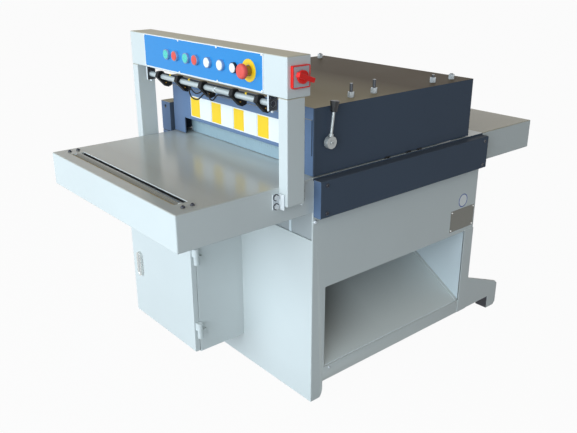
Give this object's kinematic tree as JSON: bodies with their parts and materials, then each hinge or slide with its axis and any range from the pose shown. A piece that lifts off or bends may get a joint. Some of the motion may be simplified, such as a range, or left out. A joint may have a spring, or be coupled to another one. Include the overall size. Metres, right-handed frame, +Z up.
{
  "type": "multi rip saw",
  "caption": "Floor-standing multi rip saw: infeed table, control gantry with laser lights, hinged hood over feed rollers and saw arbor, chip chute base and electric cabinet.",
  "frame": {"origin": "on the floor under the middle of the machine's length and width", "axes": "+X to the operator's right, +Y along the feed from infeed to outfeed, +Z up"},
  "size_m": [0.874, 1.556, 1.1],
  "materials": {
    "paint_grey": "satin light grey enamel",
    "paint_slate": "gloss slate blue enamel",
    "machined_steel": "ground and brushed",
    "dark_steel": "oiled machined iron",
    "black_rubber": "matte",
    "black_plastic": "moulded",
    "zinc": "bright zinc plate",
    "black_steel": "black oxide",
    "chrome": "polished",
    "panel_blue": "glossy azure film on sheet",
    "white_plastic": "moulded",
    "green_plastic": "moulded",
    "red_plastic": "moulded"
  },
  "bodies": {
    "root": {"base_front_panel": "paint_grey", "base_right_panel": "paint_grey", "base_left_panel": "paint_grey", "base_rear_panel": "paint_grey", "base_frame": "paint_grey", "chip_chute": "paint_grey", "infeed_table": "paint_grey", "outfeed_table": "paint_grey", "gantry_columns": "paint_grey", "control_box": "paint_grey", "cabinet_body": "paint_grey", "bed_plate": "paint_grey", "side_beams": "paint_slate", "hinge_brackets": "paint_slate", "main_motor": "paint_slate", "feed_gearmotor": "paint_slate", "frame_plates": "machined_steel", "hinge_pins": "machined_steel", "laser_rod": "machined_steel", "gantry_brackets": "machined_steel", "cabinet_gear": "machined_steel", "bearing_units": "dark_steel", "feed_chain": "dark_steel", "drive_belts": "black_rubber", "foot_pads": "black_rubber", "laser_cables": "black_rubber", "laser_heads": "black_plastic", "hex_bolts": "zinc", "button_bolts": "black_steel", "button_bezels": "chrome", "control_panel": "panel_blue", "panel_screws": "white_plastic", "switch_plate": "red_plastic"},
    "hood": {"hood": "paint_slate", "hood_front_plate": "paint_slate"},
    "finger_lever": {"finger_lever": "machined_steel", "lever_grip": "black_plastic", "kickback_fingers": "machined_steel"},
    "press_carrier_front": {"press_carrier_front": "dark_steel"},
    "press_carrier_rear": {"press_carrier_rear": "dark_steel"},
    "press_roller_front": {"press_roller_front": "black_rubber"},
    "press_roller_rear": {"press_roller_rear": "black_rubber"},
    "idler_roller": {"idler_roller": "machined_steel"},
    "feed_roller_front": {"feed_roller_front": "machined_steel"},
    "feed_roller_rear": {"feed_roller_rear": "machined_steel"},
    "arbor": {"arbor": "machined_steel", "saw_blades": "machined_steel", "blade_spacers": "dark_steel", "arbor_pulley": "dark_steel"},
    "motor_pulley": {"motor_pulley": "dark_steel"},
    "green_button_saw": {"green_button_saw": "green_plastic"},
    "red_button_saw": {"red_button_saw": "red_plastic"},
    "green_button_feed": {"green_button_feed": "green_plastic"},
    "red_button_feed": {"red_button_feed": "red_plastic"},
    "white_button_left": {"white_button_left": "white_plastic"},
    "white_button_right": {"white_button_right": "white_plastic"},
    "emergency_stop": {"emergency_stop": "red_plastic"},
    "switch_knob": {"switch_knob": "red_plastic"},
    "cabinet_door": {"cabinet_door": "paint_grey"},
    "door_latch": {"door_latch": "chrome"}
  },
  "joints": [
    {"name": "hood_open", "type": "hinge", "parent": "root", "child": "hood", "pos_m": [-0.405, 0, 0.832], "axis": [0, -1, 0], "range_deg": [0, 70]},
    {"name": "finger_lift", "type": "hinge", "parent": "hood", "child": "finger_lever", "pos_m": [0, -0.277, 0.8475], "axis": [1, 0, 0], "range_deg": [0, 55]},
    {"name": "press_lift_front", "type": "slide", "parent": "hood", "child": "press_carrier_front", "axis": [0, 0, 1], "range_m": [0, 0.02], "stiffness_N_per_m": 3000, "springref_m": -0.01},
    {"name": "press_lift_rear", "type": "slide", "parent": "hood", "child": "press_carrier_rear", "axis": [0, 0, 1], "range_m": [0, 0.02], "stiffness_N_per_m": 3000, "springref_m": -0.01},
    {"name": "press_spin_front", "type": "hinge", "parent": "press_carrier_front", "child": "press_roller_front", "pos_m": [0, -0.09161, 0.797], "axis": [1, 0, 0], "continuous": true},
    {"name": "press_spin_rear", "type": "hinge", "parent": "press_carrier_rear", "child": "press_roller_rear", "pos_m": [0, 0.28227, 0.797], "axis": [1, 0, 0], "continuous": true},
    {"name": "idler_spin", "type": "hinge", "parent": "root", "child": "idler_roller", "pos_m": [0, -0.72, 0.735], "axis": [1, 0, 0], "continuous": true},
    {"name": "feed_spin_front", "type": "hinge", "parent": "root", "child": "feed_roller_front", "pos_m": [0, -0.09161, 0.7106], "axis": [1, 0, 0], "continuous": true},
    {"name": "feed_spin_rear", "type": "hinge", "parent": "root", "child": "feed_roller_rear", "pos_m": [0, 0.28227, 0.7106], "axis": [1, 0, 0], "continuous": true},
    {"name": "arbor_spin", "type": "hinge", "parent": "root", "child": "arbor", "pos_m": [0, 0.09533, 0.686], "axis": [1, 0, 0], "continuous": true},
    {"name": "motor_spin", "type": "hinge", "parent": "root", "child": "motor_pulley", "pos_m": [0, 0.09533, 0.192], "axis": [1, 0, 0], "continuous": true},
    {"name": "green_button_saw_press", "type": "slide", "parent": "root", "child": "green_button_saw", "axis": [0, 1, 0], "range_m": [0, 0.004], "stiffness_N_per_m": 500},
    {"name": "red_button_saw_press", "type": "slide", "parent": "root", "child": "red_button_saw", "axis": [0, 1, 0], "range_m": [0, 0.004], "stiffness_N_per_m": 500},
    {"name": "green_button_feed_press", "type": "slide", "parent": "root", "child": "green_button_feed", "axis": [0, 1, 0], "range_m": [0, 0.004], "stiffness_N_per_m": 500},
    {"name": "red_button_feed_press", "type": "slide", "parent": "root", "child": "red_button_feed", "axis": [0, 1, 0], "range_m": [0, 0.004], "stiffness_N_per_m": 500},
    {"name": "white_button_left_press", "type": "slide", "parent": "root", "child": "white_button_left", "axis": [0, 1, 0], "range_m": [0, 0.004], "stiffness_N_per_m": 500},
    {"name": "white_button_right_press", "type": "slide", "parent": "root", "child": "white_button_right", "axis": [0, 1, 0], "range_m": [0, 0.004], "stiffness_N_per_m": 500},
    {"name": "emergency_stop_press", "type": "slide", "parent": "root", "child": "emergency_stop", "axis": [0, 1, 0], "range_m": [0, 0.006], "stiffness_N_per_m": 800},
    {"name": "switch_turn", "type": "hinge", "parent": "root", "child": "switch_knob", "pos_m": [0.41, -0.413, 1.048], "axis": [1, 0, 0], "range_deg": [0, 90]},
    {"name": "cabinet_door_open", "type": "hinge", "parent": "root", "child": "cabinet_door", "pos_m": [0.03, -0.5135, 0.3], "axis": [0, 0, 1], "range_deg": [0, 110]},
    {"name": "door_latch_turn", "type": "hinge", "parent": "cabinet_door", "child": "door_latch", "pos_m": [-0.3208, -0.53, 0.30325], "axis": [0, 1, 0], "range_deg": [0, 90]}
  ],
  "couplings": [
    {"joint": "feed_spin_rear", "follows": "feed_spin_front", "ratio": 1},
    {"joint": "motor_spin", "follows": "arbor_spin", "ratio": 0.6667}
  ]
}
